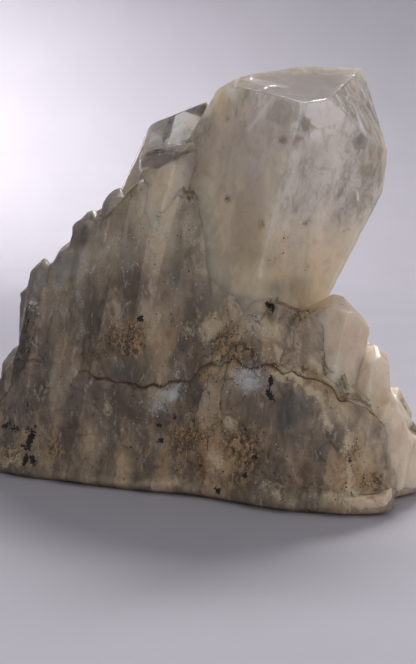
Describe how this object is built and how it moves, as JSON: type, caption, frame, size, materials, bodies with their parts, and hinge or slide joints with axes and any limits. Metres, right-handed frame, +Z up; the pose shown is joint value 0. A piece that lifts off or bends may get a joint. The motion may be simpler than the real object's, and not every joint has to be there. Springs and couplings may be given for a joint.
{
  "type": "citrine quartz point cluster",
  "caption": "Quartz cluster: a big, partly clear pale citrine point over a stepped flank of smaller points, on an iron-stained broken root that rests on its flat cut.",
  "frame": {"origin": "centre of the cluster's footprint box, on the plane that the flat of its root rests on", "axes": "+Z up, the best side with the iron-stained crack faces -Y, +X to that side's right"},
  "size_m": [0.1176, 0.0728, 0.1058],
  "materials": {
    "quartz": "glassy natural crystal faces, clear to milky, over a rough iron-stained root"
  },
  "bodies": {
    "root": {"quartz_cluster": "quartz"}
  },
  "joints": []
}
